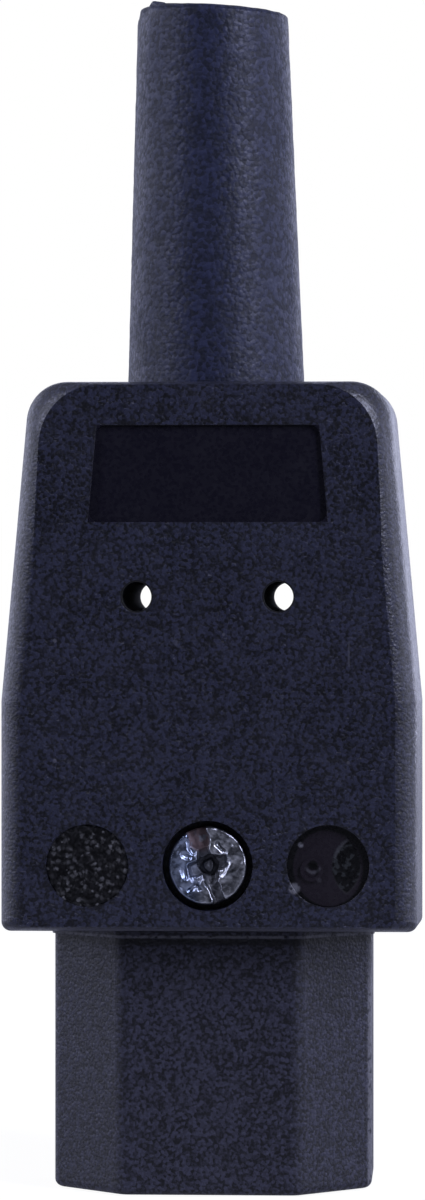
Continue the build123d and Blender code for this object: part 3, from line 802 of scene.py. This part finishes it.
def slotted(half_width, depth):
    """Depth function of one clean slot across the face."""

    def face(point):
        return depth * plateau(abs(point.y), half_width, slot_wall)

    return face


for pole in ("live", "neutral", "earth"):
    screw(
        f"{pole}_terminal_screw", around=72, head_rings=30, head_round=0.15 * mm, head_height=0.9 * mm,
        thread_length=3.0 * mm, face=slotted(half_width=0.28 * mm, depth=0.78 * mm), material=zinc,
    )
for side in ("left", "right"):
    screw(
        f"clamp_screw_{side}", around=72, head_rings=40, head_round=0.7 * mm, head_height=2.0 * mm,
        thread_length=10.0 * mm, face=slotted(half_width=0.38 * mm, depth=0.70 * mm), material=zinc,
    )

# Rough disc
# The gate disc at the cover's left foot, moulded with it, was left as spark erosion cut it:
# coarse pits strewn with pale specks, painted glints, just under the level of the face.
stipple_rings = 60
stipple_around = 200
stipple_gap = 0.01 * mm
stipple_thickness = 0.26 * mm
stipple_depth = 0.24 * mm
pit_size = 0.46 * mm
pit_detail_size = 0.22 * mm
pit_detail_share = 0.3
pit_level_share = 0.45
pit_contrast_share = 0.6
pit_limit_shares = (0.05, 0.95)
cover_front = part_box("front_cover")[0][1]


def pitted(point, angle, number):
    """Coarse eroded pits on the disc's face."""
    if number > stipple_rings:
        return point
    rough = bumpy(point, pit_size) + pit_detail_share * bumpy(point, pit_detail_size, (5, 5, 5))
    share = pit_level_share - pit_contrast_share * rough
    share = min(max(share, pit_limit_shares[0]), pit_limit_shares[1])
    return point + Vector((0, 0, stipple_depth * share))


def on_left_disc(point):
    """Turn a point of the disc to the cover's front."""
    return Vector((point.x - disc_x, cover_front + point.z, point.y + disc_z))


stipple_radius = disc_radius - stipple_gap
rings = [(stipple_radius * step / stipple_rings, 0) for step in range(stipple_rings + 1)]
rings += [(stipple_radius, stipple_thickness), (0, stipple_thickness)]
stipple = turned("gate_disc_stipple", rings, stipple_around, on_left_disc, pitted)

# Painted glints: pale specks on the rough disc
glint_tone = (0.120, 0.120, 0.126)
glint_scale = 2300
glint_spot_limits = (0.20, 0.55)
glint_cell_limits = (0.25, 0.85)
drift_scale = 3400
drift = (0.45 * mm, 0.45 * mm, 0.45 * mm)


def painted_glints(mat, place, colour, height, shine):
    """Pale specks of uneven brightness, painted glints."""
    wander = mat.node("ShaderNodeTexNoise", sockets={"Vector": place, "Scale": drift_scale}, take="Color")
    place = mat.node("ShaderNodeVectorMath", {"operation": "MULTIPLY_ADD"}, {0: wander, 1: drift, 2: place})
    spots = mat.node("ShaderNodeTexVoronoi", sockets={"Vector": place, "Scale": glint_scale})
    cells = mat.node("ShaderNodeTexVoronoi", sockets={"Vector": place, "Scale": glint_scale}, take="Color")
    glints = (1 - spots.above(*glint_spot_limits)) * cells.above(*glint_cell_limits)
    return glints.tint(colour, glint_tone), height, shine


stipple_deep = (0.0003, 0.0003, 0.0005)
stipple_pale = (0.009, 0.009, 0.010)
stipple_plastic = plastic(
    "stipple_plastic", stipple_deep, stipple_pale, grain_scale, grain_depth=0.02 * mm,
    roughness=0.55, gloss=0.16, marks=painted_glints,
)
stipple.data.materials.append(stipple_plastic)
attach(stipple, "housing")

# Cord sleeve
# Soft sleeve moulded in bluish black rubber with a leathery grain. Its flange is trapped
# in the housing, and its upper end was trimmed by hand, which left a torn nib.
sleeve_low, sleeve_high = (Vector(corner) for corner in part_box("cord_sleeve"))
sleeve_flange_radius = (sleeve_high.x - sleeve_low.x) / 2
sleeve_flange_height = 2.2 * mm
flange_top = sleeve_low.z + sleeve_flange_height
housing_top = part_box("front_cover")[1][2]
sleeve_base_radius = 6.7 * mm
sleeve_tip_radius = 5.7 * mm
sleeve_bore_radius = 4.2 * mm
sleeve_rim_round = 0.22 * mm
sleeve_around = 200
sleeve_steps = 90
rim_steps = 5
grain_rise = 0.022 * mm
grain_swell = 0.9 * mm
grain_crease = 0.35 * mm
crease_share = 0.6
lean_low = 0.13 * mm
lean_high = -0.13 * mm
cut_slope = -0.055
cut_drop = 0.13 * mm
cut_ragged = 0.04 * mm
nib_angle = math.radians(214)
nib_width = math.radians(7)
nib_height = 0.30 * mm
tear_angle = math.radians(200)
tear_width = math.radians(22)
tear_depth = 0.50 * mm
tear_height = 1.1 * mm

rim_base = sleeve_high.z - sleeve_rim_round
rings = [
    (sleeve_bore_radius, sleeve_low.z),
    (sleeve_flange_radius, sleeve_low.z),
    (sleeve_flange_radius, flange_top),
    (sleeve_base_radius, flange_top),
]
first_outer = len(rings)
for step in range(sleeve_steps + 1):
    share = step / sleeve_steps
    radius = sleeve_base_radius + (sleeve_tip_radius - sleeve_base_radius) * share
    rings.append((radius, housing_top + (rim_base - housing_top) * share))
for centre, turn in ((sleeve_tip_radius - sleeve_rim_round, 0), (sleeve_bore_radius + sleeve_rim_round, 1)):
    for step in range(rim_steps + 1):
        swing = math.pi / 2 * (turn + step / rim_steps)
        rings.append(
            (centre + sleeve_rim_round * math.cos(swing), rim_base + sleeve_rim_round * math.sin(swing))
        )
first_inner = len(rings) - rim_steps - 1


def rubbery(point, angle, number):
    """Grain, a slight lean, the slanting cut and the torn nib of the sleeve."""
    if number < first_outer:
        return point
    up = (point.z - housing_top) / (sleeve_high.z - housing_top)
    out = Vector((math.cos(angle), math.sin(angle), 0))
    near_rim = plateau(sleeve_high.z - point.z, 0, tear_height)
    swell = bumpy(point, grain_swell)
    moved = point + out * grain_rise * (swell + crease_share * bumpy(point, grain_crease))
    moved.x += lean_low + (lean_high - lean_low) * up
    moved.z += near_rim * (cut_slope * point.x - cut_drop + cut_ragged * swell)
    if number < first_inner:
        moved -= out * tear_depth * math.exp(-(((angle - tear_angle) / tear_width) ** 2)) * near_rim
    nib = math.exp(-(((angle - nib_angle) / nib_width) ** 2))
    moved.z += nib_height * nib * plateau(sleeve_high.z - point.z, 0, 2 * sleeve_rim_round)
    return moved


sleeve = turned("cord_sleeve_grained", rings, sleeve_around, lambda point: point, rubbery)
rubber_deep = (0.003, 0.005, 0.015)
rubber_pale = (0.026, 0.031, 0.068)
rubber = plastic(
    "grained_rubber", rubber_deep, rubber_pale, grain=3000, grain_depth=0.065 * mm, roughness=0.56, gloss=0.36
)
sleeve.data.materials.append(rubber)
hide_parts("cord_sleeve")
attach(sleeve, "housing")
